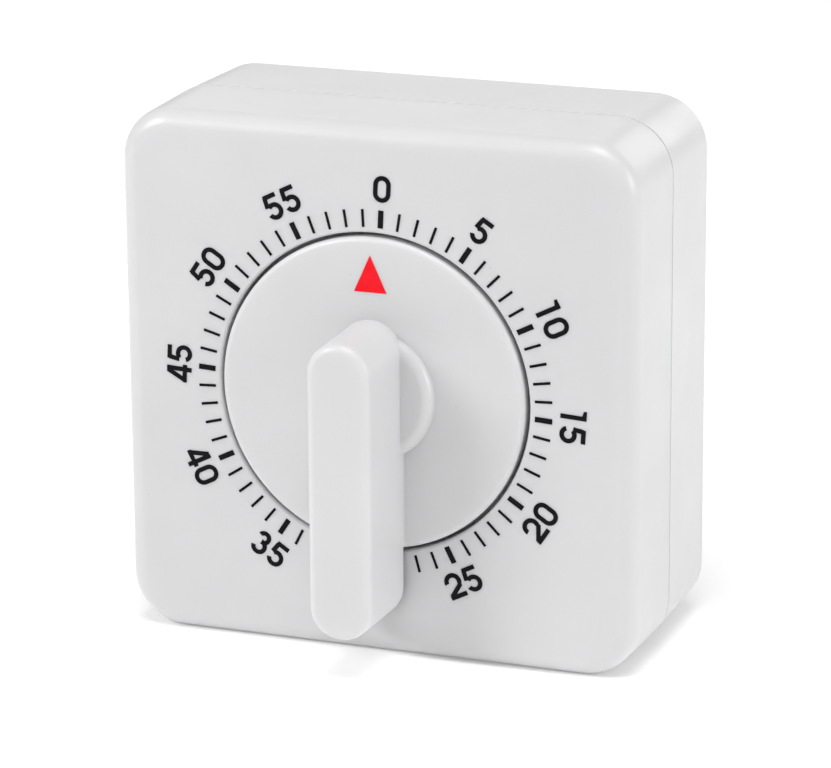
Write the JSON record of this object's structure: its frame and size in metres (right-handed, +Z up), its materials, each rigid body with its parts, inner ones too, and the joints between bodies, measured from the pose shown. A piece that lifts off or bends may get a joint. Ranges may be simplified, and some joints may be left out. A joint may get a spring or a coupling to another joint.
{
  "type": "mechanical countdown timer",
  "caption": "Square white clockwork countdown timer with a round dial, long lever grip, minute scale, gear train and alarm bell.",
  "frame": {"origin": "centre of the flat base under the middle of the case, not counting the lever that stands out in front", "axes": "+Z up along the dial's upright, +X to the right of a person who faces the dial, -Y out of the dial towards that person"},
  "size_m": [0.07, 0.0435, 0.07],
  "materials": {
    "case_plastic": "moulded white ABS with a soft gloss",
    "knob_plastic": "moulded white ABS with a soft gloss",
    "red_ink": "printed red mark",
    "black_ink": "printed black scale",
    "plate_steel": "pressed zinc-plated steel",
    "arbor_steel": "turned steel",
    "screw_steel": "zinc-plated steel with a cross recess or a slot",
    "spring_steel": "blued spring steel",
    "bell_steel": "nickel-plated pressed steel",
    "movement_brass": "stamped or turned brass",
    "train_plastic": "natural acetal"
  },
  "bodies": {
    "case": {"front_case": "case_plastic", "rear_case": "case_plastic", "case_screws": "screw_steel", "scale_ticks": "black_ink", "scale_numerals": "black_ink", "front_plate": "plate_steel", "back_plate": "plate_steel", "plate_pillars": "movement_brass", "plate_screws": "screw_steel", "movement_screws": "screw_steel", "mainspring": "spring_steel", "spring_post": "movement_brass", "hairspring": "spring_steel", "hairspring_stud": "movement_brass", "trip_stud": "movement_brass", "hammer_stud": "movement_brass", "hammer_spring": "spring_steel", "bell": "bell_steel", "bell_post": "movement_brass", "bell_screw": "screw_steel"},
    "dial": {"dial_knob": "knob_plastic", "pointer_mark": "red_ink", "main_arbor": "arbor_steel", "great_wheel": "movement_brass", "clutch_washer": "spring_steel", "arbor_clip": "spring_steel", "alarm_cam": "movement_brass"},
    "second_set": {"second_arbor": "arbor_steel", "second_wheel": "train_plastic", "strike_wheel": "movement_brass"},
    "third_set": {"third_arbor": "arbor_steel", "third_wheel": "train_plastic"},
    "escape_set": {"escape_arbor": "arbor_steel", "escape_wheel": "train_plastic"},
    "pallets": {"pallet_arbor": "arbor_steel", "pallet_lever": "movement_brass"},
    "balance": {"balance_staff": "arbor_steel", "balance_wheel": "movement_brass"},
    "trip": {"trip_lever": "plate_steel"},
    "hammer_arm": {"hammer": "arbor_steel"}
  },
  "joints": [
    {"name": "dial_turn", "type": "hinge", "parent": "case", "child": "dial", "pos_m": [0, 0, 0.035], "axis": [0, 1, 0], "range_deg": [0, 354]},
    {"name": "second_spin", "type": "hinge", "parent": "case", "child": "second_set", "pos_m": [0.01273, 0, 0.04773], "axis": [0, 1, 0], "range_deg": [-3186, 0]},
    {"name": "third_spin", "type": "hinge", "parent": "case", "child": "third_set", "pos_m": [0.00202, 0, 0.0526], "axis": [0, 1, 0], "range_deg": [0, 19116]},
    {"name": "escape_spin", "type": "hinge", "parent": "case", "child": "escape_set", "pos_m": [-0.008, 0, 0.05135], "axis": [0, 1, 0], "range_deg": [-114696, 0]},
    {"name": "balance_swing", "type": "hinge", "parent": "case", "child": "balance", "pos_m": [-0.02, 0, 0.038], "axis": [0, 1, 0], "range_deg": [-27, 27], "stiffness_Nm_per_rad": 0.0000027},
    {"name": "pallet_rock", "type": "hinge", "parent": "case", "child": "pallets", "pos_m": [-0.0136, 0, 0.04795], "axis": [0, 1, 0], "range_deg": [-4.9, 4.9]},
    {"name": "trip_drop", "type": "hinge", "parent": "case", "child": "trip", "pos_m": [-0.0135, 0, 0.043], "axis": [0, 1, 0], "range_deg": [-7, 0]},
    {"name": "hammer_strike", "type": "hinge", "parent": "case", "child": "hammer_arm", "pos_m": [0.00493, 0, 0.05223], "axis": [0, 1, 0], "range_deg": [0, 9], "stiffness_Nm_per_rad": 0.0005, "springref_deg": -11.46}
  ],
  "couplings": [
    {"joint": "second_spin", "follows": "dial_turn", "ratio": -9},
    {"joint": "third_spin", "follows": "dial_turn", "ratio": 54},
    {"joint": "escape_spin", "follows": "dial_turn", "ratio": -324},
    {"joint": "pallet_rock", "follows": "balance_swing", "ratio": -0.1795}
  ]
}
